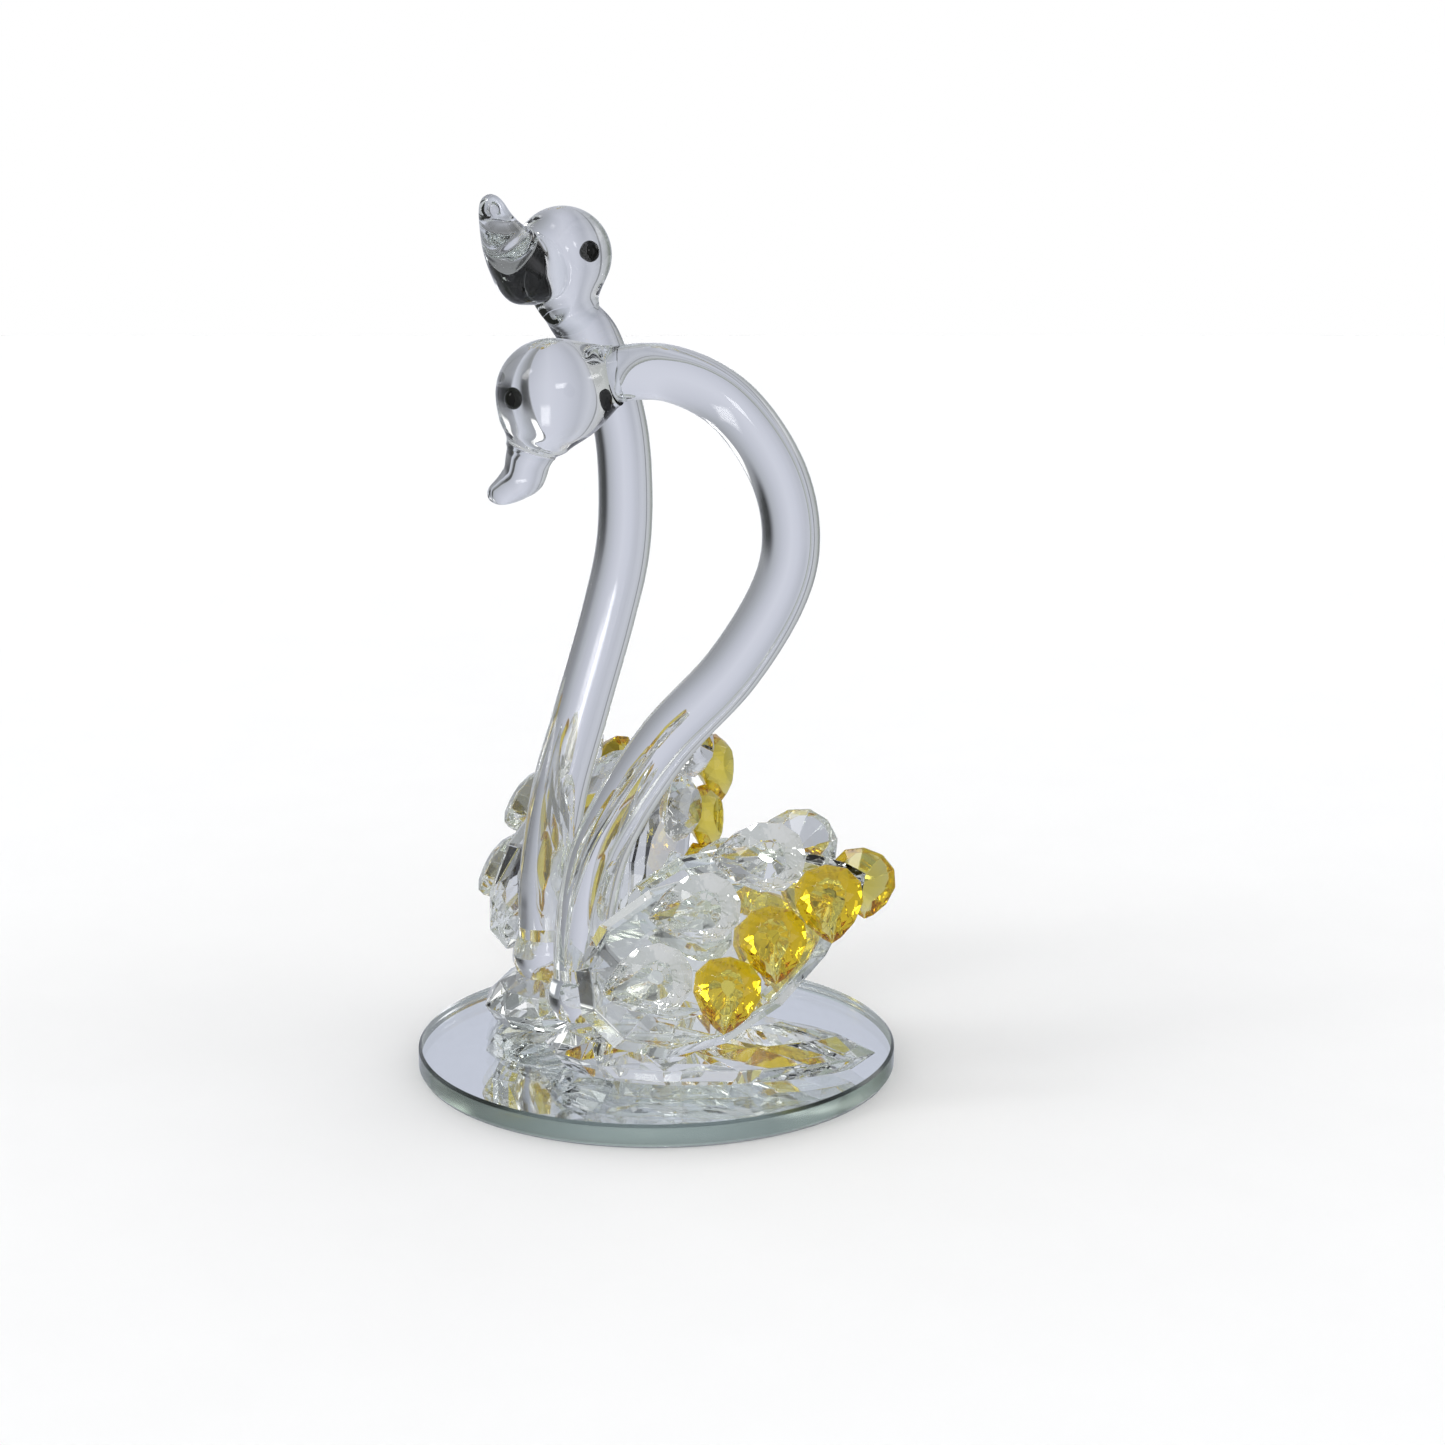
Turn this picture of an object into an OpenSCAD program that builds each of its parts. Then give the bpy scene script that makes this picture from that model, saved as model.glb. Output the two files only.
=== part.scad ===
// A pair of crystal glass swans standing on a round mirror.
// Origin: centre of the mirror's underside. +Z is up, +X is to the right of a
// person who faces the swans, +Y is away from that person. Millimetres.

/* [Mirror base] */
// Diameter of the round mirror
mirror_d = 100; // [96:1:120]
// Thickness of the whole mirror, with its silver and backing
mirror_t = 5; // [4:0.5:6]
// Width of the ground bevel at the rim of the mirror glass
rim_bevel = 0.6; // [0.3:0.1:1]

/* [Leaf crystals] */
// Length of the flat leaf that the front swan sits on
front_leaf_len = 69; // [64:1:72]
// Length of the flat leaf that the back swan sits on
back_leaf_len = 54; // [50:1:58]
// Width of both flat leaves
base_leaf_wid = 31; // [28:1:33]
// Thickness of both flat leaves
base_leaf_t = 10; // [9:0.5:10]
// Length of a wing leaf
wing_leaf_len = 62; // [58:1:66]
// Width of a wing leaf
wing_leaf_wid = 35; // [32:1:36]
// Thickness of a wing leaf
wing_leaf_t = 6; // [5:0.5:7]

/* [Stones] */
// Length of a clear drop-shaped stone
clear_len = 19; // [18:0.5:21]
// Width of a clear stone
clear_wid = 14.5; // [13:0.5:15]
// Length of a yellow stone
yellow_len = 16; // [15:0.5:17]
// Width of a yellow stone
yellow_wid = 14; // [13:0.5:15]
// Thickness of every stone
stone_t = 8; // [7:0.5:9]

/* [Necks] */
// Radius of the glass rod where it stands on its collar
rod_r = 6.1; // [5.8:0.1:6.4]
// Radius of the rod where it enters the head
rod_end_r = 5.5; // [5.2:0.1:5.8]
// Height of the glass collar under each neck
collar_h = 8.5; // [7:0.5:9]
// Largest radius of the collar
collar_r = 7.4; // [7:0.1:8]

/* [Heads] */
// Radius of a black bead eye
eye_r = 2.1; // [1.9:0.1:2.3]

/* [Placement] */
// Turn of the front swan's body and neck about the vertical
front_turn = -14; // [-20:1:0]
// Turn of the flat leaf under the front swan
front_leaf_turn = -6; // [-10:1:0]
// Turn of the back swan's body
back_turn = 64; // [58:1:68]
// Turn of the flat leaf under the back swan
back_leaf_turn = 52; // [48:1:58]
// Turn of the back swan's neck and head
back_neck_turn = 50; // [45:1:56]

/* [Hidden] */
SWANS = ["front", "back"];
SIDES = ["left", "right"];
WING_PARTS = ["wing_leaf", "clear_stone_1", "clear_stone_2", "clear_stone_3",
              "yellow_stone_1", "yellow_stone_2", "yellow_stone_3"];
NODES = concat(
    ["mirror_glass", "mirror_silver", "mirror_backing"],
    [for (s = SWANS, p = ["base_leaf", "collar", "neck", "head", "beak"]) str(s, "_", p)],
    [for (s = SWANS, side = SIDES) str(s, "_", side, "_eye")],
    [for (s = SWANS, side = SIDES, p = WING_PARTS) str(s, "_", side, "_", p)]);
node = "all";

GLASS = [0.86, 0.89, 0.91];
YELLOW = [0.88, 0.74, 0.15];
BLACK = [0.05, 0.05, 0.05];

silver_t = 0.1;
backing_t = 0.2;
neck_z = base_leaf_t + collar_h;
socket_gap = 0.05;
head_smooth = 72;

// Where each neck stands on the mirror
front_at = [-14.9, -12.4, mirror_t];
back_at = [-23.5, 14.5, mirror_t];

// Centre lines of the necks, as [towards the tail, up from the mirror's face]
front_path = [[0, neck_z], [0, neck_z + 6], [1.6, 37], [6, 50.5], [17.5, 69.3], [31.5, 85.5],
              [41, 101.5], [43.6, 114], [40.5, 127], [31.5, 139.2], [19.5, 144.9], [8, 144.3]];
front_path_end = [0.6, 140.7];
back_path = [[0, neck_z], [0, neck_z + 6], [0.4, 32], [4.6, 49.5], [12.2, 66.6], [20.4, 84.5],
             [25.2, 98], [26.2, 112], [24.3, 126.2], [17.5, 142.4], [11.5, 148.7]];
back_path_end = [6.6, 154.9];

// How far the flat leaves reach in front of the necks
front_leaf_reach = 8.3;
back_leaf_reach = 14;

// Heads: middle of the ball and its radius, the direction from the beak's seam to that
// middle, how far the seam is from it, and the seam's radius
front_head_mid = [-5.2, 139.4];
front_head_r = 11.2;
front_head_dir = [0.33, 0.944];
front_seam_dist = 12.1;
front_seam_r = 5;
back_head_mid = [7.4, 162.8];
back_head_r = 9.8;
back_head_dir = [0.975, 0.222];
back_seam_dist = 6.7;
back_seam_r = 7.1;

// Beaks: the radius just past the seam, then [towards the tail, up, radius] to the tip
front_beak_root_r = 4.8;
front_beak = [[-11.4, 123.0, 4.3], [-13.2, 121.1, 3.6], [-15.3, 119.6, 2.9], [-17.1, 118.7, 2.2],
              [-18.2, 118.3, 1.3], [-18.6, 118.1, 0.5]];
back_beak_root_r = 7.4;
back_beak = [[-4.4, 161.4, 7.0], [-7.6, 164.4, 6.0], [-10.4, 168.0, 4.7], [-12.4, 171.8, 3.5],
             [-13.6, 175.0, 2.6], [-14.0, 176.6, 1.7], [-14.1, 177.3, 0.7]];

// Eyes, left and right: direction from the middle of the head, as [tail, right, up]
front_eye_dirs = [[-0.52, -0.85, 0.02], [-0.80, 0.60, 0.04]];
back_eye_dirs = [[-0.15, -0.96, 0.19], [-0.15, 0.96, 0.19]];
eye_sink = 1.25;

// A left wing leaf: rounded front end and rear tip, as [tail, left, up]
wing_front = [4, 16.5, 15.4];
wing_tip = [58.9, 4.6, 43.7];
wing_face = [0.109, 0.989, 0.103];

// Stones on the outer face of a wing leaf: [along the leaf, up the leaf, turn of the tip]
left_clear_spots = [[-14.3, 1.8, 171], [0.8, 10.8, 165], [17.1, 14.8, 156]];
left_yellow_spots = [[-1.1, -7.6, -121], [11.9, -2.3, -112], [25.6, 0.4, -112]];
right_clear_spots = [[-14.9, 0.9, 168], [-2.2, 9.5, 164], [15.5, 9.9, 163]];
right_yellow_spots = [[-1.8, -8.7, -122], [11.6, -5, -107], [25.3, -3.6, -118]];

// ---- Vectors ----

function unit(v) = v / norm(v);
function across(v) = [-v[1], v[0]];

// ---- Cut crystal: rings of points round a drop outline, joined by flat triangles ----

DROP_LEAN = 0.6;
DROP_PEAK = 0.84;

function drop_point(a, len, wid) =
    [len / 2 * cos(a), wid / 2 * sin(a) * pow(abs(sin(a / 2)), DROP_LEAN) / DROP_PEAK];

// One ring of a cut stone. Every other ring is turned by half a facet.
function drop_ring(n, len, wid, size, z, turn) =
    let (mid = [-len * 0.1, 0])
    [for (i = [0:n - 1])
        let (p = mid + (drop_point((i + turn) * 360 / n, len, wid) - mid) * size)
        [p[0], p[1], z]];

function band_faces(n, ring, turned) =
    let (low = ring * n, high = low + n)
    concat(
        [for (i = [0:n - 1]) turned
            ? [low + i, high + (i + 1) % n, low + (i + 1) % n]
            : [low + i, high + i, low + (i + 1) % n]],
        [for (i = [0:n - 1]) turned
            ? [low + i, high + i, high + (i + 1) % n]
            : [high + i, high + (i + 1) % n, low + (i + 1) % n]]);

// levels: [size of the ring, height] from the back of the stone to its table
module cut_drop(n, len, wid, levels) {
    rings = len(levels);
    points = [for (k = [0:rings - 1])
        each drop_ring(n, len, wid, levels[k][0], levels[k][1], k % 2 == 0 ? 0.5 : 0)];
    sides = [for (k = [0:rings - 2]) each band_faces(n, k, k % 2 == 0)];
    back = [for (i = [0:n - 1]) i];
    table = [for (i = [n - 1:-1:0]) (rings - 1) * n + i];
    polyhedron(points, concat([back], sides, [table]));
}

// ---- Drawn glass: a round tube along a line in the XZ plane ----

function spline_at(p, i, t) =
    0.5 * (2 * p[i] + (p[i + 1] - p[i - 1]) * t
        + (2 * p[i - 1] - 5 * p[i] + 4 * p[i + 1] - p[i + 2]) * t * t
        + (3 * p[i] - p[i - 1] - 3 * p[i + 1] + p[i + 2]) * t * t * t);

// Straight from the first point to the second, then smooth
function smooth_line(p, steps) =
    let (last = len(p) - 1, q = concat(p, [2 * p[last] - p[last - 1]]))
    concat([p[0]], [for (i = [1:last - 1], s = [0:steps - 1]) spline_at(q, i, s / steps)], [p[last]]);

function line_dir(p, i) =
    unit(p[min(i + 1, len(p) - 1)] - p[max(i - 1, 0)]);

module drawn_rod(line, radii, sides) {
    count = len(line);
    points = [for (i = [0:count - 1])
        let (out = across(line_dir(line, i)))
        for (j = [0:sides - 1])
            let (a = j * 360 / sides, c = line[i] + out * radii[i] * cos(a))
            [c[0], radii[i] * sin(a), c[1]]];
    skin = [for (i = [0:count - 2], j = [0:sides - 1])
        let (k = (j + 1) % sides)
        [i * sides + j, i * sides + k, (i + 1) * sides + k, (i + 1) * sides + j]];
    start = [for (j = [sides - 1:-1:0]) j];
    end = [for (j = [0:sides - 1]) (count - 1) * sides + j];
    polyhedron(points, concat([start], skin, [end]));
}

// ---- Mirror base ----

module mirror_glass() {
    r = mirror_d / 2;
    low = silver_t + backing_t;
    color(GLASS)
        rotate_extrude($fn = 180)
            polygon([[0, low], [r - rim_bevel, low], [r, low + rim_bevel],
                     [r, mirror_t - rim_bevel], [r - rim_bevel, mirror_t], [0, mirror_t]]);
}

module mirror_silver() {
    color([0.8, 0.82, 0.85])
        translate([0, 0, backing_t])
            cylinder(h = silver_t, r = mirror_d / 2 - rim_bevel, $fn = 180);
}

module mirror_backing() {
    color([0.35, 0.37, 0.4])
        cylinder(h = backing_t, r = mirror_d / 2 - rim_bevel, $fn = 180);
}

// ---- Pieces of a swan, in its own frame: neck on the Z axis, tail towards +X ----

module base_leaf(leaf_len, in_front) {
    color(GLASS)
        translate([leaf_len / 2 - in_front, 0, 0])
            cut_drop(14, leaf_len, base_leaf_wid,
                     [[0.88, 0], [1, base_leaf_t * 0.38], [0.84, base_leaf_t * 0.74],
                      [0.52, base_leaf_t]]);
}

module collar() {
    color(GLASS)
        translate([0, 0, base_leaf_t])
            rotate_extrude($fn = 96)
                polygon([[0, 0], [collar_r - 1.4, 0], [collar_r - 0.4, collar_h * 0.2],
                         [collar_r, collar_h * 0.42], [collar_r - 0.4, collar_h * 0.7],
                         [rod_r + 0.3, collar_h * 0.92], [rod_r, collar_h], [0, collar_h]]);
}

module neck(path, end) {
    line = concat(smooth_line(path, 4), [end]);
    count = len(line);
    radii = [for (i = [0:count - 1]) rod_r + (rod_end_r - rod_r) * i / (count - 1)];
    color(GLASS)
        drawn_rod(line, radii, 20);
}

// The straight end of the rod, where it is set into the head
module rod_socket(path, end) {
    dir = unit(end - path[len(path) - 1]);
    reach = 20;
    translate([end[0], 0, end[1]])
        rotate([0, atan2(-dir[0], -dir[1]), 0])
            cylinder(h = reach, r = rod_end_r + socket_gap, $fn = 64);
}

module eye_ball(mid, r, dir, grow = 0) {
    d = unit(dir) * (r - eye_sink);
    translate([mid[0] + d[0], d[1], mid[1] + d[2]])
        sphere(r = eye_r + grow, $fn = 48);
}

// A ball, either cut flat at the seam of the beak or narrowing towards that seam
module head(mid, r, dir, seam_dist, seam_r, path, end, eye_dirs) {
    shoulder_r = 9;
    color(GLASS)
        difference() {
            translate([mid[0], 0, mid[1]])
                rotate([0, atan2(dir[0], dir[1]), 0])
                    union() {
                        sphere(r = r, $fn = head_smooth);
                        if (seam_dist > r)
                            translate([0, 0, -seam_dist])
                                cylinder(h = seam_dist / 2, r1 = seam_r, r2 = shoulder_r,
                                         $fn = head_smooth);
                    }
            if (seam_dist < r)
                translate([mid[0], 0, mid[1]])
                    rotate([0, atan2(dir[0], dir[1]), 0])
                        translate([-r, -r, -seam_dist - r])
                            cube([r * 2, r * 2, r]);
            rod_socket(path, end);
            for (eye_dir = eye_dirs)
                eye_ball(mid, r, eye_dir, socket_gap);
        }
}

module beak(mid, dir, seam_dist, seam_r, root_r, sections) {
    straight = 1.5;
    seam = mid - unit(dir) * seam_dist;
    line = concat([seam, seam - unit(dir) * straight], [for (s = sections) [s[0], s[1]]]);
    radii = concat([seam_r, root_r], [for (s = sections) s[2]]);
    color(GLASS)
        drawn_rod(line, radii, 24);
}

// Places a piece in the plane of a left wing leaf: X along it, Y down it, Z outwards
module on_wing() {
    start = [wing_front[0], -wing_front[1], wing_front[2]];
    tip = [wing_tip[0], -wing_tip[1], wing_tip[2]];
    along = unit(tip - start);
    out = unit(cross(cross(along, [wing_face[0], -wing_face[1], wing_face[2]]), along));
    down = cross(out, along);
    mid = (start + tip) / 2;
    multmatrix([[along[0], down[0], out[0], mid[0]],
                [along[1], down[1], out[1], mid[1]],
                [along[2], down[2], out[2], mid[2]],
                [0, 0, 0, 1]])
        children();
}

module on_side(side) {
    if (side == "left") {
        on_wing() children();
    } else {
        mirror([0, 1, 0]) on_wing() children();
    }
}

module wing_leaf() {
    half = wing_leaf_t / 2;
    color(GLASS)
        cut_drop(14, wing_leaf_len, wing_leaf_wid,
                 [[0.56, -half], [0.84, -half * 0.6], [1, 0], [0.84, half * 0.6], [0.56, half]]);
}

module stone(spot, len, wid, colour, n) {
    color(colour)
        translate([spot[0], spot[1], wing_leaf_t / 2])
            rotate([0, 0, spot[2]])
                cut_drop(n, len, wid,
                         [[0.22, 0], [1, stone_t * 0.52], [0.8, stone_t * 0.8], [0.52, stone_t]]);
}

// ---- Both swans ----

module at_swan(name) {
    at = name == "front" ? front_at : back_at;
    turn = name == "front" ? front_turn : back_turn;
    translate(at) rotate([0, 0, turn]) children();
}

module at_leaf(name) {
    at = name == "front" ? front_at : back_at;
    turn = name == "front" ? front_leaf_turn : back_leaf_turn;
    translate(at) rotate([0, 0, turn]) children();
}

module at_neck(name) {
    at = name == "front" ? front_at : back_at;
    turn = name == "front" ? front_turn : back_neck_turn;
    translate(at) rotate([0, 0, turn]) children();
}

module swan_neck(name) {
    if (name == "front") neck(front_path, front_path_end);
    else neck(back_path, back_path_end);
}

module swan_head(name) {
    if (name == "front")
        head(front_head_mid, front_head_r, front_head_dir, front_seam_dist, front_seam_r,
             front_path, front_path_end, front_eye_dirs);
    else
        head(back_head_mid, back_head_r, back_head_dir, back_seam_dist, back_seam_r,
             back_path, back_path_end, back_eye_dirs);
}

module swan_beak(name) {
    if (name == "front")
        beak(front_head_mid, front_head_dir, front_seam_dist, front_seam_r,
             front_beak_root_r, front_beak);
    else
        beak(back_head_mid, back_head_dir, back_seam_dist, back_seam_r,
             back_beak_root_r, back_beak);
}

module swan_eye(name, side) {
    i = side == "left" ? 0 : 1;
    color(BLACK)
        if (name == "front") eye_ball(front_head_mid, front_head_r, front_eye_dirs[i]);
        else eye_ball(back_head_mid, back_head_r, back_eye_dirs[i]);
}

function clear_spots(side) = side == "left" ? left_clear_spots : right_clear_spots;
function yellow_spots(side) = side == "left" ? left_yellow_spots : right_yellow_spots;
function wanted(name) = node == "all" || node == name;

if (wanted("mirror_glass")) mirror_glass();
if (wanted("mirror_silver")) mirror_silver();
if (wanted("mirror_backing")) mirror_backing();
for (s = SWANS) {
    if (wanted(str(s, "_base_leaf"))) at_leaf(s)
            base_leaf(s == "front" ? front_leaf_len : back_leaf_len,
                      s == "front" ? front_leaf_reach : back_leaf_reach);
    if (wanted(str(s, "_collar"))) at_swan(s) collar();
    if (wanted(str(s, "_neck"))) at_neck(s) swan_neck(s);
    if (wanted(str(s, "_head"))) at_neck(s) swan_head(s);
    if (wanted(str(s, "_beak"))) at_neck(s) swan_beak(s);
    for (side = SIDES) {
        if (wanted(str(s, "_", side, "_eye"))) at_neck(s) swan_eye(s, side);
        if (wanted(str(s, "_", side, "_wing_leaf"))) at_swan(s) on_side(side) wing_leaf();
        for (i = [0:2]) {
            if (wanted(str(s, "_", side, "_clear_stone_", i + 1)))
                at_swan(s) on_side(side)
                    stone(clear_spots(side)[i], clear_len, clear_wid, GLASS, 14);
            if (wanted(str(s, "_", side, "_yellow_stone_", i + 1)))
                at_swan(s) on_side(side)
                    stone(yellow_spots(side)[i], yellow_len, yellow_wid, YELLOW, 14);
        }
    }
}
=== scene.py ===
import math
import bpy
from mathutils import Matrix, Vector


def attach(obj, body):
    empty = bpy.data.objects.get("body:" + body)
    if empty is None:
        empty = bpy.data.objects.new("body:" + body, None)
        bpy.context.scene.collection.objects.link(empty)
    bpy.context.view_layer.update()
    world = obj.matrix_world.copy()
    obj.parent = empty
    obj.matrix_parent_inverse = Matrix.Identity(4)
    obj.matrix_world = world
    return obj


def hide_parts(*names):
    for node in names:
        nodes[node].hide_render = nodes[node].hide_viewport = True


# Two crystal glass swans on a round mirror: the looks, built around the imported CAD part.
# Lengths are in millimetres until build_piece turns them into metres. Each swan has a plane
# of its own, with u to the rear, away from its beak, and z up.

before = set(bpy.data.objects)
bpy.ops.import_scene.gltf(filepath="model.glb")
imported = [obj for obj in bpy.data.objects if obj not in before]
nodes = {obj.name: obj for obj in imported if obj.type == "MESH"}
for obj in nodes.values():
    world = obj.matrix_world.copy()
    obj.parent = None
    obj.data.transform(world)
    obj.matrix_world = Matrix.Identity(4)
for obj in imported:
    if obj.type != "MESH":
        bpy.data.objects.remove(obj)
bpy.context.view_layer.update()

MM = 0.001
SIDES = ("left", "right")
SWANS = ("front", "back")
Y_AXIS = Vector((0, 1, 0))

# ---------------------------------------------------------------- node helpers


def new_tree(owner):
    owner.use_nodes = True
    owner.node_tree.nodes.clear()
    return owner.node_tree


def add(tree, kind, **values):
    node = tree.nodes.new(kind)
    for key, value in values.items():
        setattr(node, key, value)
    return node


def math_node(tree, operation, a, b=None):
    node = add(tree, "ShaderNodeMath", operation=operation)
    for socket, value in zip(node.inputs, (a, b)):
        if value is None:
            continue
        if isinstance(value, (int, float)):
            socket.default_value = value
        else:
            tree.links.new(value, socket)
    return node.outputs[0]


def ramp(tree, value, low, high, out_low=0.0, out_high=1.0, smooth=True):
    node = add(tree, "ShaderNodeMapRange",
               interpolation_type="SMOOTHSTEP" if smooth else "LINEAR")
    tree.links.new(value, node.inputs["Value"])
    for name, number in (("From Min", low), ("From Max", high),
                         ("To Min", out_low), ("To Max", out_high)):
        node.inputs[name].default_value = number
    return node.outputs["Result"]


def mix_colour(tree, factor, a, b, blend="MIX"):
    node = add(tree, "ShaderNodeMix", data_type="RGBA", blend_type=blend)
    if isinstance(factor, (int, float)):
        node.inputs[0].default_value = factor
    else:
        tree.links.new(factor, node.inputs[0])
    for socket, value in ((node.inputs[6], a), (node.inputs[7], b)):
        if isinstance(value, tuple):
            socket.default_value = (*value, 1.0)
        else:
            tree.links.new(value, socket)
    return node.outputs[2]


def noise_factor(tree, scale, detail=2.0, stretch=None):
    """Noise over the object's own coordinates, from 0 to 1."""
    place = add(tree, "ShaderNodeTexCoord").outputs["Object"]
    if stretch:
        mapping = add(tree, "ShaderNodeMapping")
        mapping.inputs["Scale"].default_value = stretch
        tree.links.new(place, mapping.inputs["Vector"])
        place = mapping.outputs[0]
    noise = add(tree, "ShaderNodeTexNoise")
    noise.inputs["Scale"].default_value = scale
    noise.inputs["Detail"].default_value = detail
    tree.links.new(place, noise.inputs["Vector"])
    return noise.outputs["Fac"]


def set_surface(tree, shader, kind="ShaderNodeOutputMaterial"):
    out = add(tree, kind)
    tree.links.new(shader.outputs[0], out.inputs["Surface"])
    return out


# ---------------------------------------------------------------- studio

PAPER = (1.0, 1.0, 1.0)
# The light on the floor: a bright band above the horizon and a dim top, so that the edge of
# the mirror casts a soft shadow. Heights in degrees.
BAND_LIGHT, TOP_LIGHT = (7.15, 7.15, 7.15), (0.35, 0.35, 0.35)
BAND_END, TOP_START = 14, 34
# The studio as the glass sees it. Angles in degrees: azimuth 0 is behind the object and
# positive to the right, height is above the horizon.
AZIMUTH_TONES = [
    (-150, (0.60, 0.61, 0.63)), (-110, (0.46, 0.48, 0.47)), (-90, (0.32, 0.35, 0.31)),
    (-66, (0.32, 0.35, 0.32)), (-56, (0.50, 0.52, 0.54)), (-46, (0.54, 0.56, 0.60)),
    (-38, (0.50, 0.52, 0.58)), (-30, (0.55, 0.57, 0.64)), (-22, (0.46, 0.48, 0.55)),
    (-10, (0.58, 0.60, 0.69)), (0, (0.62, 0.64, 0.73)), (12, (0.52, 0.54, 0.62)),
    (24, (0.40, 0.42, 0.47)), (36, (0.32, 0.33, 0.37)), (52, (0.25, 0.26, 0.28)),
    (75, (0.21, 0.215, 0.22)), (100, (0.24, 0.25, 0.26)), (128, (0.50, 0.52, 0.54)),
]
HEIGHT_SHADES = [(-80, 0.78), (-30, 0.94), (-15, 1.0), (25, 1.02), (80, 1.3)]
# Straight up and straight down there is one even tone.
STEEP_TONE, STEEP_START, STEEP_END = (0.52, 0.54, 0.60), 45, 75
# Flags and soft boxes: azimuth, height, half width, half height, softness, colour
PATCHES = [
    (-42, -8, 1.5, 60, 1.2, (0.22, 0.23, 0.25)),
    (50, -7, 20, 11, 7, (0.015, 0.015, 0.02)),
    (56, 22, 14, 7, 3, (1.6, 1.6, 1.6)),
]
# The same, with azimuth 0 towards the camera
FRONT_PATCHES = [
    (6, 24, 6, 5, 2, (7.0, 7.0, 7.0)),
    (-66, 40, 7, 10, 3, (6.0, 6.0, 6.0)),
    (60, 10, 10, 25, 5, (1.0, 1.0, 1.05)),
]


def tone_ramp(tree, value, tones):
    low, high = tones[0][0], tones[-1][0]
    node = add(tree, "ShaderNodeValToRGB")
    tree.links.new(ramp(tree, value, low, high, smooth=False), node.inputs[0])
    band = node.color_ramp
    while len(band.elements) < len(tones):
        band.elements.new(0.5)
    # All places come first, because the ramp keeps its elements in order.
    for element, (at, _) in zip(band.elements, tones):
        element.position = (at - low) / (high - low)
    for element, (_, tone) in zip(band.elements, tones):
        element.color = (*tone, 1.0)
    return node.outputs[0]


def patch_factor(tree, angle, height, azimuth_mid, height_mid, half_width, half_height, soft):
    """1 inside a soft-edged patch of the studio, 0 outside."""
    factors = []
    for value, mid, half in ((angle, azimuth_mid, half_width), (height, height_mid, half_height)):
        away = math_node(tree, "ABSOLUTE", math_node(tree, "SUBTRACT", value, mid))
        factors.append(ramp(tree, away, half - soft, half + soft, 1.0, 0.0))
    return math_node(tree, "MULTIPLY", *factors)


def build_world():
    """A white page for the eye, white light for the floor, and a lilac studio for the glass."""
    world = bpy.data.worlds.new("studio")
    bpy.context.scene.world = world
    tree = new_tree(world)
    split = add(tree, "ShaderNodeSeparateXYZ")
    tree.links.new(add(tree, "ShaderNodeTexCoord").outputs["Generated"], split.inputs[0])
    x, y, z = split.outputs

    def degrees(operation, a, b=None):
        return math_node(tree, "MULTIPLY", math_node(tree, operation, a, b), 180 / math.pi)

    azimuth = degrees("ARCTAN2", x, y)
    front_azimuth = degrees("ARCTAN2", x, math_node(tree, "MULTIPLY", y, -1.0))
    height = degrees("ARCSINE", z)

    steep = ramp(tree, math_node(tree, "ABSOLUTE", height), STEEP_START, STEEP_END)
    around = mix_colour(tree, steep, tone_ramp(tree, azimuth, AZIMUTH_TONES), STEEP_TONE)
    shade = tone_ramp(tree, height, [(at, (v, v, v)) for at, v in HEIGHT_SHADES])
    colour = mix_colour(tree, 1.0, around, shade, "MULTIPLY")
    for angle, patches in ((azimuth, PATCHES), (front_azimuth, FRONT_PATCHES)):
        for *place, tone in patches:
            colour = mix_colour(tree, patch_factor(tree, angle, height, *place), colour, tone)
    path = add(tree, "ShaderNodeLightPath")
    room = mix_colour(tree, ramp(tree, height, BAND_END, TOP_START), BAND_LIGHT, TOP_LIGHT)
    colour = mix_colour(tree, path.outputs["Is Diffuse Ray"], colour, room)
    colour = mix_colour(tree, path.outputs["Is Camera Ray"], colour, PAPER)
    back = add(tree, "ShaderNodeBackground")
    tree.links.new(colour, back.inputs["Color"])
    set_surface(tree, back, "ShaderNodeOutputWorld")


def build_floor():
    """White paper. The glass doesn't show it, because the studio has its own lower half."""
    size, z = 0.9, -0.00005
    mesh = bpy.data.meshes.new("floor")
    mesh.from_pydata([(-size, -size, z), (size, -size, z), (size, size, z), (-size, size, z)],
                     [], [(0, 1, 2, 3)])
    floor = bpy.data.objects.new("floor", mesh)
    bpy.context.scene.collection.objects.link(floor)
    material = bpy.data.materials.new("paper_floor")
    tree = new_tree(material)
    paper = add(tree, "ShaderNodeBsdfDiffuse")
    tone = mix_colour(tree, noise_factor(tree, 40), (0.90, 0.90, 0.90), (0.92, 0.92, 0.92))
    tree.links.new(tone, paper.inputs["Color"])
    set_surface(tree, paper)
    mesh.materials.append(material)
    floor.visible_glossy = False
    floor.visible_transmission = False


def build_camera():
    data = bpy.data.cameras.new("camera")
    data.sensor_width = 36.0
    data.lens = 96.76
    data.clip_start, data.clip_end = 0.01, 20.0
    camera = bpy.data.objects.new("camera", data)
    camera.location = (0.0139, -0.7711, 0.2872)
    aim = Vector((0.013903, 0.0, 0.074128))
    camera.rotation_euler = (aim - camera.location).to_track_quat("-Z", "Y").to_euler()
    bpy.context.scene.collection.objects.link(camera)
    bpy.context.scene.camera = camera


# ---------------------------------------------------------------- materials


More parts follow.
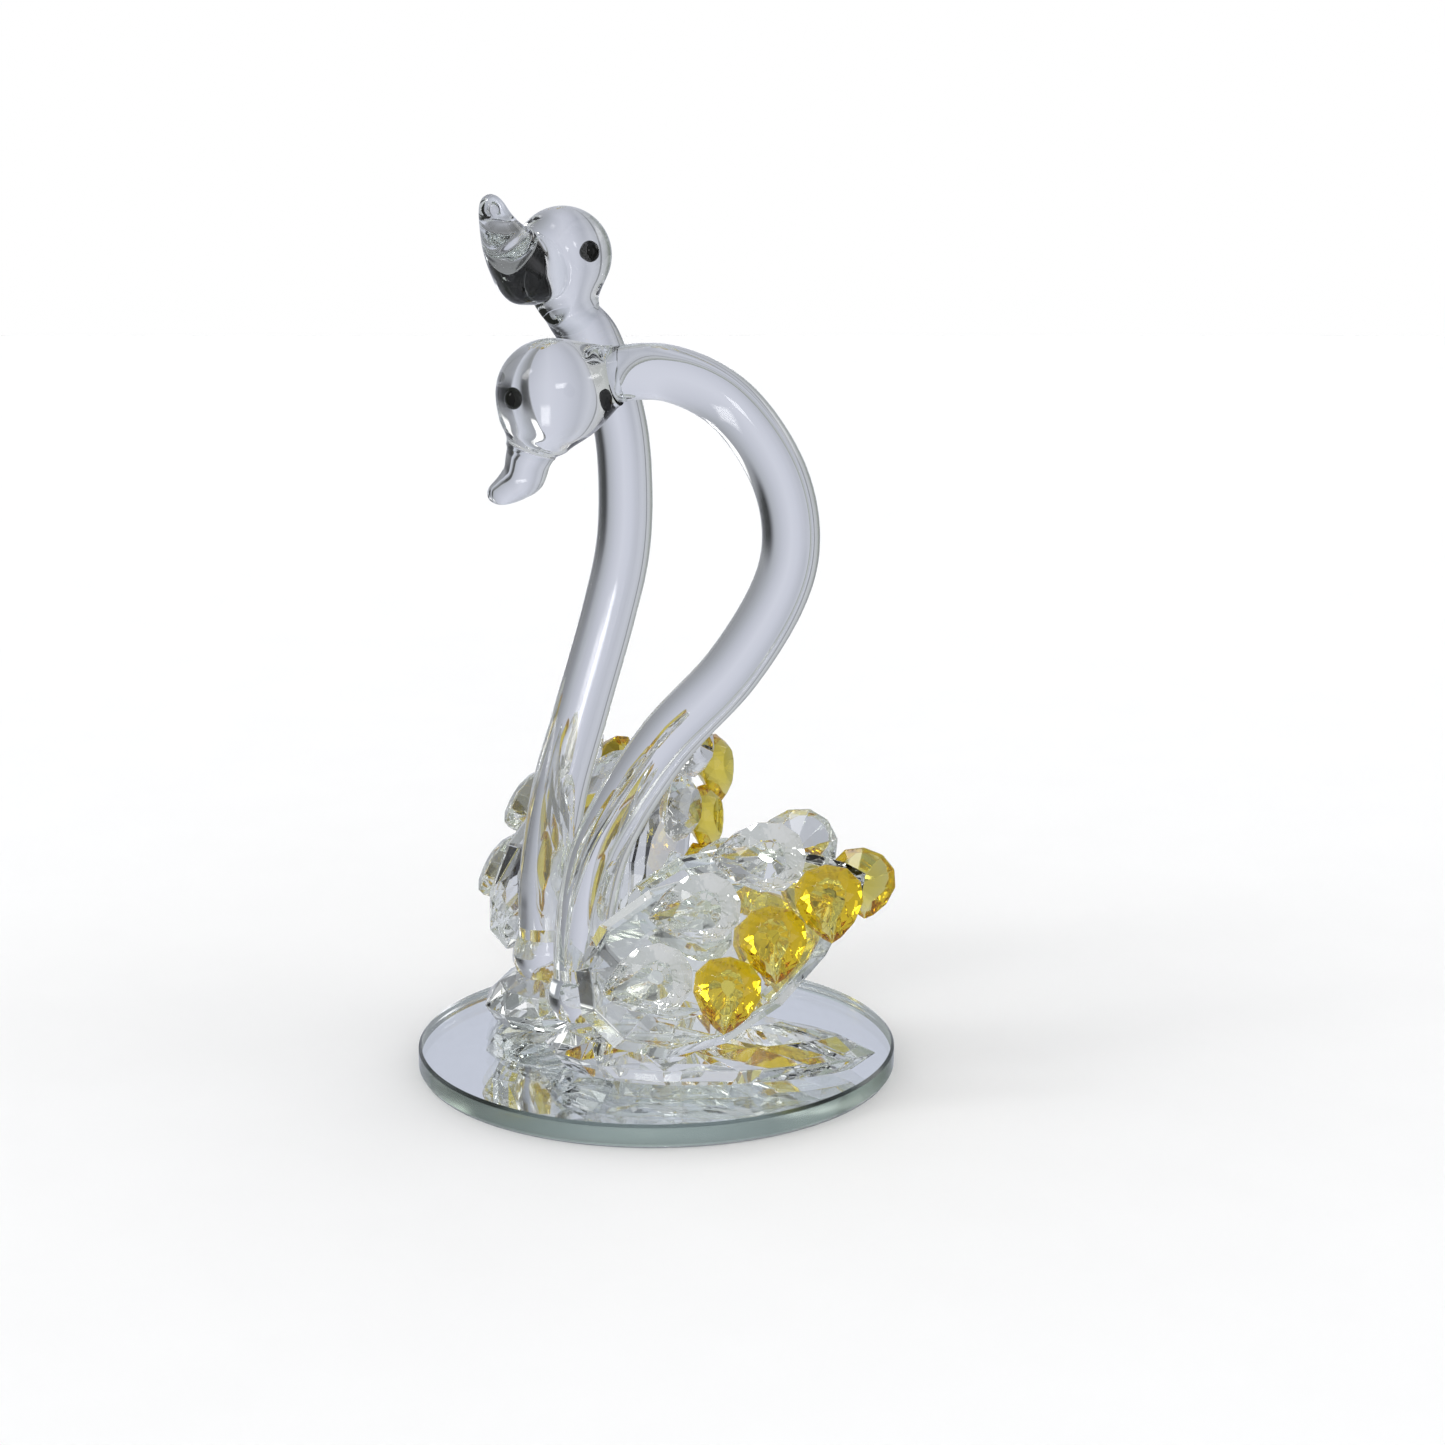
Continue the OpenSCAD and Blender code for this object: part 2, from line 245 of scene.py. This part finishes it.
def glass_material(name, tint, rough=0.0, ior=1.5, bump=0.0, stretch=(1, 1, 1), absorb=None):
    """Glass with faint drawing streaks or ripples from a noise bump, and a faint change of
    tint. absorb is a colour and density for the light inside."""
    material = bpy.data.materials.new(name)
    tree = new_tree(material)
    shader = add(tree, "ShaderNodeBsdfPrincipled")
    shader.inputs["Transmission Weight"].default_value = 1.0
    shader.inputs["IOR"].default_value = ior
    shader.inputs["Roughness"].default_value = rough
    noise = noise_factor(tree, 60, 1.0, stretch)
    light = tuple(min(1.0, c * 1.01) for c in tint)
    tree.links.new(mix_colour(tree, noise, tint, light), shader.inputs["Base Color"])
    if bump:
        wave = add(tree, "ShaderNodeBump")
        wave.inputs["Strength"].default_value = bump
        wave.inputs["Distance"].default_value = 0.001
        tree.links.new(noise, wave.inputs["Height"])
        tree.links.new(wave.outputs[0], shader.inputs["Normal"])
    out = set_surface(tree, shader)
    if absorb:
        colour, density = absorb
        volume = add(tree, "ShaderNodeVolumeAbsorption")
        volume.inputs["Color"].default_value = (*colour, 1.0)
        volume.inputs["Density"].default_value = density
        tree.links.new(volume.outputs[0], out.inputs["Volume"])
    return material


def joint_material():
    """Where two glass pieces are fused: light goes straight on."""
    material = bpy.data.materials.new("fused_joint")
    tree = new_tree(material)
    clear = add(tree, "ShaderNodeBsdfTransparent")
    tone = mix_colour(tree, noise_factor(tree, 200), (0.97, 0.98, 0.98), (1, 1, 1))
    tree.links.new(tone, clear.inputs["Color"])
    set_surface(tree, clear)
    return material


def opaque_material(name, dark, light, rough, metallic=0.0, shine=0.5):
    material = bpy.data.materials.new(name)
    tree = new_tree(material)
    shader = add(tree, "ShaderNodeBsdfPrincipled")
    shader.inputs["Metallic"].default_value = metallic
    shader.inputs["Specular IOR Level"].default_value = shine
    noise = noise_factor(tree, 300, 4.0)
    tree.links.new(mix_colour(tree, noise, dark, light), shader.inputs["Base Color"])
    tree.links.new(ramp(tree, noise, 0.3, 0.7, rough * 0.8, rough * 1.2),
                   shader.inputs["Roughness"])
    set_surface(tree, shader)
    return material


ROD = glass_material("drawn_glass", (0.985, 0.99, 0.99), bump=0.02, stretch=(1, 1, 0.2))
CRYSTAL = glass_material("cut_crystal", (0.975, 0.985, 0.955), ior=1.54, bump=0.01)
AMBER = glass_material("amber_crystal", (0.99, 0.97, 0.88), ior=1.54, bump=0.01,
                       absorb=((0.965, 0.885, 0.06), 230.0))
FLOAT = glass_material("float_glass", (0.96, 0.985, 0.985), ior=1.52)
EDGE = glass_material("ground_edge", (0.56, 0.66, 0.56), rough=0.14, ior=1.52, bump=0.05)
JOINT = joint_material()
SILVER = opaque_material("silvering", (0.88, 0.89, 0.90), (0.92, 0.93, 0.94), 0.01,
                         metallic=1.0)
PAINT = opaque_material("backing_paint", (0.10, 0.11, 0.12), (0.14, 0.15, 0.17), 0.6)
BEAD = opaque_material("black_bead", (0.001, 0.001, 0.001), (0.004, 0.004, 0.003), 0.05,
                       shine=0.25)

# ---------------------------------------------------------------- mesh helpers


def signed_volume(points, faces):
    total = 0.0
    for face in faces:
        a = Vector(points[face[0]])
        for i in range(1, len(face) - 1):
            total += a.dot(Vector(points[face[i]]).cross(Vector(points[face[i + 1]])))
    return total


def build_piece(name, shape, materials, stands_for, matrix=None, sharp=35):
    """One piece from points in millimetres, faces, and marks that give each face's material.
    Edges sharper than the angle sharp, in degrees, stay sharp."""
    points, faces, marks = shape
    if signed_volume(points, faces) < 0:
        faces = [tuple(reversed(face)) for face in faces]
    mesh = bpy.data.meshes.new(name)
    mesh.from_pydata([(Vector(p) * MM) for p in points], [], faces)
    for material in materials:
        mesh.materials.append(material)
    for polygon, mark in zip(mesh.polygons, marks):
        polygon.material_index = mark
        polygon.use_smooth = True
    if matrix is not None:
        mesh.transform(matrix)
    mesh.validate()
    mesh.set_sharp_from_angle(angle=math.radians(sharp))
    piece = bpy.data.objects.new(name, mesh)
    bpy.context.scene.collection.objects.link(piece)
    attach(piece, "root")
    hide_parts(stands_for)
    return piece


def circle(n):
    """Cosine and sine at n even steps."""
    return [(math.cos(t), math.sin(t)) for t in (2 * math.pi * j / n for j in range(n))]


def turned(profile, n):
    """Rings round the Z axis from (radius, z) points."""
    return [[(r * c, r * s, z) for c, s in circle(n)] for r, z in profile]


def tube(rings, start_mark=0, end_mark=0):
    """Points, faces and material marks of a skin over rings of points, closed at both ends."""
    n = len(rings[0])
    points = [p for ring in rings for p in ring]
    faces = [(i * n + j, i * n + (j + 1) % n, (i + 1) * n + (j + 1) % n, (i + 1) * n + j)
             for i in range(len(rings) - 1) for j in range(n)]
    marks = [0] * len(faces) + [start_mark, end_mark]
    last = (len(rings) - 1) * n
    faces += [tuple(range(n - 1, -1, -1)), tuple(range(last, last + n))]
    return points, faces, marks


def spline(p, steps):
    """Straight from the first point to the second, then a smooth line through the rest."""
    size = range(len(p[0]))
    q = p + [tuple(2 * a - b for a, b in zip(p[-1], p[-2]))]
    line = [tuple(p[0][c] + (p[1][c] - p[0][c]) * s / steps for c in size)
            for s in range(steps)]
    for i in range(1, len(p) - 1):
        for s in range(steps):
            t = s / steps
            line.append(tuple(
                0.5 * (2 * q[i][c] + (q[i + 1][c] - q[i - 1][c]) * t
                       + (2 * q[i - 1][c] - 5 * q[i][c] + 4 * q[i + 1][c] - q[i + 2][c]) * t * t
                       + (3 * q[i][c] - q[i - 1][c] - 3 * q[i + 1][c] + q[i + 2][c]) * t ** 3)
                for c in size))
    return line + [p[-1]]


def sweep_rings(line, even=False):
    """Round rings along a line of (u, z, radius) in a swan's own plane. Where the line bends
    more sharply than its radius allows, even turns the slices by the same amount for each
    millimetre, so that they don't cross."""
    tangents, along = [], [0.0]
    for i, point in enumerate(line):
        a, b = line[max(i - 1, 0)], line[min(i + 1, len(line) - 1)]
        tangents.append(Vector((b[0] - a[0], b[1] - a[1])).normalized())
        along.append(along[-1] + math.dist(point[:2], b[:2]))
    start = tangents[0]
    bend = tangents[-1].angle_signed(start)
    rings = []
    for (u, z, r), tangent, s in zip(line, tangents, along):
        d = tangent
        if even:
            a = bend * s / along[-1]
            d = Vector((start.x * math.cos(a) - start.y * math.sin(a),
                        start.x * math.sin(a) + start.y * math.cos(a)))
        wide = r / d.dot(tangent)
        rings.append([(u - d.y * wide * cos, r * sin, z + d.x * wide * cos)
                      for cos, sin in circle(AROUND)])
    return rings


# ---------------------------------------------------------------- swans

# path and end are the middle line of the neck, mid and r the ball of the head, and dir points
# from the beak to the middle of the ball. beak is a line of (u, z, radius). The rod takes
# over from the head where it comes within neck_cut of mid, and blend is the softness there.
SHAPES = {
    "front": {
        "at": (-14.9, -12.4, 5.0), "neck_turn": -14,
        "path": [(0, 18.5), (0, 24.5), (1.6, 37), (6, 50.5), (17.5, 69.3), (31.5, 85.5),
                 (41, 101.5), (43.6, 114), (40.5, 127), (31.5, 139.2), (19.5, 144.9), (8, 144.3)],
        "end": (0.6, 140.7), "mid": (-5.6, 140.0), "r": 10.6, "dir": (0.33, 0.944),
        "seam": 12.6, "seam_r": 5.0, "nose_r": 4.4,
        "beak": [(-11.4, 123.0, 4.3), (-13.2, 121.1, 3.6), (-15.3, 119.6, 2.9),
                 (-17.1, 118.7, 2.2), (-18.2, 118.3, 1.3), (-18.6, 118.1, 0.5)],
        "eyes": ((-0.52, -0.85, 0.02), (-0.80, 0.60, 0.04)), "neck_cut": 14.5, "blend": 8.0,
    },
    "back": {
        "at": (-23.5, 14.5, 5.0), "neck_turn": 50,
        "path": [(0, 18.5), (0, 24.5), (0.4, 32), (4.6, 49.5), (12.2, 66.6), (20.4, 84.5),
                 (25.2, 98), (26.2, 112), (24.3, 126.2), (17.5, 142.4), (11.5, 148.7)],
        "end": (6.6, 154.9), "mid": (7.4, 162.8), "r": 9.8, "dir": (0.975, 0.222),
        "seam": 6.7, "seam_r": 7.1, "nose_r": 6.9,
        "beak": [(-4.4, 161.4, 7.0), (-7.6, 164.4, 6.0), (-10.4, 168.0, 4.7),
                 (-12.4, 171.8, 3.5), (-13.6, 175.0, 2.6), (-14.0, 176.6, 1.7),
                 (-14.1, 177.3, 0.7)],
        "eyes": ((-0.15, -0.96, 0.19), (-0.15, 0.96, 0.19)), "neck_cut": 13.5, "blend": 5.0,
    },
}
ROD_R, ROD_END_R = 6.1, 5.5
EYE_R, EYE_SINK = 2.1, 1.25
AROUND = 72
# Foot of the neck: (radius, z)
COLLAR = [(6.0, 10.0), (6.6, 10.7), (7.0, 11.7), (7.3, 12.7), (7.4, 13.6), (7.3, 14.8),
          (7.0, 15.9), (6.7, 17.0), (6.3, 17.9), (6.1, 18.5)]
# Head: slices, spheres in the nose, longest search from the middle, halvings, softness
# between ball and nose, and how far the head overlaps the edge of the beak's seam
HEAD_SLICES, NOSE_STEPS, REACH, HALVINGS, NOSE_BLEND, SEAM_LIP = 56, 24, 16.0, 26, 2.0, 0.15
# Number of neck points near the head that its surface flows into
NECK_POINTS = 60


def in_plane(u, z):
    return Vector((u, 0, z))


def ease(f):
    f = max(0.0, f)
    return f * f * (3 - 2 * f)


def smooth_min(a, b, k):
    h = max(k - abs(a - b), 0.0) / k
    return min(a, b) - h * h * k * 0.25


def sphere_distance(p, spheres):
    return min((p - centre).length - r for centre, r in spheres)


def head_rings(shape, neck_line, cut):
    """Slices of the head on planes that fan out from the beak's seam to the cut of the neck."""
    mid = in_plane(*shape["mid"])
    r, nose_r = shape["r"], shape["nose_r"]
    n1 = in_plane(*shape["dir"]).normalized()
    nose = [(mid - n1 * ((shape["seam"] + 2.0) * f), nose_r + (r * 0.93 - nose_r) * (1 - f) ** 0.8)
            for f in (k / NOSE_STEPS for k in range(NOSE_STEPS + 1))]
    neck = [(in_plane(u, z), rod_r) for u, z, rod_r in neck_line[max(0, cut - NECK_POINTS):]]

    def distance(p):
        d = smooth_min((p - mid).length - r, sphere_distance(p, nose), NOSE_BLEND)
        return smooth_min(d, sphere_distance(p, neck), shape["blend"])

    # The planes through the seam and through the cut meet in the line at pivot.
    p1 = mid - n1 * shape["seam"]
    p2 = in_plane(*neck_line[cut][:2])
    n2 = (in_plane(*neck_line[cut - 3][:2]) - p2).normalized()
    det = n1.x * n2.z - n1.z * n2.x
    c1, c2 = n1.dot(p1), n2.dot(p2)
    pivot = in_plane((c1 * n2.z - c2 * n1.z) / det, (n1.x * c2 - n2.x * c1) / det)
    a1 = math.atan2((p1 - pivot).z, (p1 - pivot).x)
    a2 = math.atan2((p2 - pivot).z, (p2 - pivot).x)
    if a2 - a1 > math.pi:
        a2 -= 2 * math.pi
    if a1 - a2 > math.pi:
        a2 += 2 * math.pi
    r1, r2 = (p1 - pivot).length, (p2 - pivot).length

    rings = []
    for i in range(HEAD_SLICES + 1):
        f = i / HEAD_SLICES
        a = a1 + (a2 - a1) * f
        ray = in_plane(math.cos(a), math.sin(a))
        centre = pivot + ray * ((mid - pivot).dot(ray))
        centre = centre.lerp(pivot + ray * r2, ease((f - 0.6) / 0.4))
        centre = centre.lerp(pivot + ray * r1, ease((0.4 - f) / 0.4))
        near_seam = ease(1 - f / 0.14)
        ring = []
        for cos, sin in circle(AROUND):
            way = ray * cos + Y_AXIS * sin
            low, high = 0.0, REACH
            for _ in range(HALVINGS):
                half = (low + high) / 2
                if distance(centre + way * half) < 0:
                    low = half
                else:
                    high = half
            low += (shape["seam_r"] + SEAM_LIP - low) * near_seam
            ring.append(tuple(centre + way * low))
        rings.append(ring)
    return rings


def swan_matrix(name):
    shape = SHAPES[name]
    return (Matrix.Translation(Vector(shape["at"]) * MM)
            @ Matrix.Rotation(math.radians(shape["neck_turn"]), 4, "Z"))


def build_swan(name):
    """Neck, head and beak, fused into each other, and the collar under the neck."""
    shape = SHAPES[name]
    flat = spline(shape["path"] + [shape["end"]], 12)
    line = [(u, z, ROD_R + (ROD_END_R - ROD_R) * i / (len(flat) - 1))
            for i, (u, z) in enumerate(flat)]
    mid = shape["mid"]
    cut = next(i for i, (u, z, _) in enumerate(line)
               if math.dist((u, z), mid) < shape["neck_cut"] and z > 100)
    d = Vector(shape["dir"]).normalized()
    seam = Vector(mid) - d * shape["seam"]
    root = seam - d * 1.5
    beak = [(*seam, shape["seam_r"]), (*root, shape["beak"][0][2] + 0.3)] + shape["beak"]
    for part, shaped in (
            ("neck", tube(sweep_rings(line[:cut + 1]), 0, 1)),
            ("head", tube(head_rings(shape, line, cut), 1, 1)),
            ("beak", tube(sweep_rings(spline(beak, 8), even=True), 1, 0)),
            ("collar", tube(turned(COLLAR, AROUND), 0, 1))):
        build_piece(f"{name}_{part}_glass", shaped, [ROD, JOINT], f"{name}_{part}",
                    swan_matrix(name))


def build_eye(name, side):
    """A slightly flattened bead, set into the ball of the head."""
    shape = SHAPES[name]
    out = Vector(shape["eyes"][SIDES.index(side)]).normalized()
    centre = in_plane(*shape["mid"]) + out * (shape["r"] - EYE_SINK)
    turn = out.to_track_quat("Z", "Y").to_matrix()
    steps = [math.radians(a) for a in range(-84, 85, 6)]
    profile = [(0.02, -EYE_R * 0.985)]
    profile += [(EYE_R * math.cos(a), EYE_R * math.sin(a) * 0.98) for a in steps]
    profile += [(0.02, EYE_R * 0.985)]
    rings = [[tuple(centre + turn @ Vector(p)) for p in ring] for ring in turned(profile, 40)]
    build_piece(f"{name}_{side}_eye_bead", tube(rings), [BEAD], f"{name}_{side}_eye",
                swan_matrix(name))


# ---------------------------------------------------------------- mirror


def bevelled_disc(r, low, top, bevel, n):
    return turned([(r - bevel, low), (r, low + bevel), (r, top - bevel), (r - bevel, top)], n)


def build_mirror():
    """The glass, whose own underside already mirrors, and the silver coat a hair below it."""
    build_piece("mirror_float_glass", tube(bevelled_disc(50.0, 0.3, 5.0, 0.6, 240), 1, 2),
                [EDGE, SILVER, FLOAT], "mirror_glass", sharp=20)
    build_piece("mirror_silver_coat", tube(bevelled_disc(49.4, 0.2, 0.28, 0.02, 120)),
                [SILVER], "mirror_silver")
    backing = nodes["mirror_backing"].data.materials
    backing.clear()
    backing.append(PAINT)


# ---------------------------------------------------------------- cut crystal

# Levels of a cut piece: size, height in mm, turn in facets. Glued pieces keep a hair of air.
LEAF_LEVELS = [(0.88, 0.05, 0), (1.0, 3.8, 0), (0.82, 7.4, 0.5), (0.52, 9.95, 0)]
WING_LEVELS = [(0.56, -3.0, 0), (0.86, -1.8, 0), (1.0, 0, 0), (0.86, 1.8, 0), (0.56, 3.0, 0)]
STONE_LEVELS = [(0.20, 0.05, 0), (1.0, 4.1, 0), (1.0, 4.5, 0), (0.80, 6.4, 0.5), (0.52, 8.0, 0)]
LEAF_FACETS, STONE_FACETS = 14, 12
LEAF_WIDTH, WING_LENGTH, WING_WIDTH, WING_THICK = 31, 62, 35, 6.0
CUT_BEVEL = 0.1
WING_FRONT, WING_TIP = Vector((4, -16.5, 15.4)), Vector((58.9, -4.6, 43.7))
WING_FACE = Vector((0.109, -0.989, 0.103))
# Stones on each wing leaf: along it, up it, turn of the tip
CLEAR_SPOTS = {"left": [(-14.3, 1.8, 171), (0.8, 10.8, 165), (17.1, 14.8, 156)],
               "right": [(-14.9, 0.9, 168), (-2.2, 9.5, 164), (15.5, 9.9, 163)]}
YELLOW_SPOTS = {"left": [(-1.1, -7.6, -121), (11.9, -2.3, -112), (25.6, 0.4, -112)],
                "right": [(-1.8, -8.7, -122), (11.6, -5, -107), (25.3, -3.6, -118)]}
# Kind, spots, length, width, material, slot
STONES = [("clear", CLEAR_SPOTS, 19, 14.5, CRYSTAL, "cut_crystal"),
          ("yellow", YELLOW_SPOTS, 16, 14, AMBER, "yellow_crystal")]
# Turns of the wings and the base leaf, the leaf's length, and how far it reaches forward
BODY = {"front": {"turn": -14, "leaf_turn": -6, "leaf": 69, "reach": 8.3},
        "back": {"turn": 64, "leaf_turn": 52, "leaf": 54, "reach": 14}}


def drop_ring(n, length, width, size, z, turn):
    """Points on a drop outline that is shrunk towards a point near its round end."""
    ring = []
    for i in range(n):
        a = 2 * math.pi * (i + turn) / n
        x = length / 2 * math.cos(a)
        y = width / 2 * math.sin(a) * abs(math.sin(a / 2)) ** 0.6 / 0.84
        mid = -length * 0.1
        ring.append((mid + (x - mid) * size, y * size, z))
    return ring


def cut_drop(n, length, width, levels):
    """Flat facets over rings; a ring with another turn than the one below gives triangles."""
    points, faces = [], []
    for level in levels:
        points += drop_ring(n, length, width, *level)
    for k in range(len(levels) - 1):
        low, high, twist = k * n, (k + 1) * n, levels[k + 1][2] - levels[k][2]
        for i in range(n):
            j = (i + 1) % n
            if twist == 0:
                faces.append((low + i, low + j, high + j, high + i))
            elif twist > 0:
                faces += [(low + i, low + j, high + i), (low + j, high + j, high + i)]
            else:
                faces += [(low + i, high + j, high + i), (low + i, low + j, high + j)]
    top = (len(levels) - 1) * n
    faces += [tuple(range(n - 1, -1, -1)), tuple(range(top, top + n))]
    return points, faces


def build_crystal(node, cut, material, matrix):
    points, faces = cut
    points = [tuple(matrix @ Vector(p)) for p in points]
    piece = build_piece(f"{node}_cut", (points, faces, [0] * len(faces)), [material], node,
                        sharp=1)
    edge = piece.modifiers.new("edge", "BEVEL")
    edge.width = CUT_BEVEL * MM
    edge.segments = 1
    edge.limit_method = "ANGLE"
    edge.angle_limit = math.radians(6)


def body_matrix(at, turn):
    return Matrix.Translation(at) @ Matrix.Rotation(math.radians(turn), 4, "Z")


def wing_matrix(side):
    """X along the wing leaf, Y up it, Z out of its face."""
    along = (WING_TIP - WING_FRONT).normalized()
    out = along.cross(WING_FACE).cross(along).normalized()
    up = out.cross(along)
    mid = (WING_FRONT + WING_TIP) / 2
    matrix = Matrix([[along[i], up[i], out[i], mid[i]] for i in range(3)] + [[0, 0, 0, 1]])
    if side == "right":
        matrix = Matrix.Scale(-1, 4, Y_AXIS) @ matrix
    return matrix


def build_crystals(name):
    body, at = BODY[name], SHAPES[name]["at"]
    leaf = body_matrix(at, body["leaf_turn"]) @ Matrix.Translation(
        (body["leaf"] / 2 - body["reach"], 0, 0))
    build_crystal(f"{name}_base_leaf",
                  cut_drop(LEAF_FACETS, body["leaf"], LEAF_WIDTH, LEAF_LEVELS),
                  CRYSTAL, leaf)
    for side in SIDES:
        wing = body_matrix(at, body["turn"]) @ wing_matrix(side)
        build_crystal(f"{name}_{side}_wing_leaf",
                      cut_drop(LEAF_FACETS, WING_LENGTH, WING_WIDTH, WING_LEVELS),
                      CRYSTAL, wing)
        for kind, spots, length, width, material, slot in STONES:
            for k, (x, y, turn) in enumerate(spots[side], 1):
                build_crystal(f"{name}_{side}_{kind}_stone_{k}",
                              cut_drop(STONE_FACETS, length, width, STONE_LEVELS),
                              material, wing @ body_matrix((x, y, WING_THICK / 2), turn))


# ---------------------------------------------------------------- the whole scene

build_camera()
build_world()
build_floor()
build_mirror()
for swan in SWANS:
    build_swan(swan)
    build_crystals(swan)
    for side in SIDES:
        build_eye(swan, side)

scene = bpy.context.scene
scene.cycles.max_bounces = 32
scene.cycles.transmission_bounces = 32
scene.cycles.glossy_bounces = 12
scene.cycles.transparent_max_bounces = 24
scene.view_settings.view_transform = "Standard"
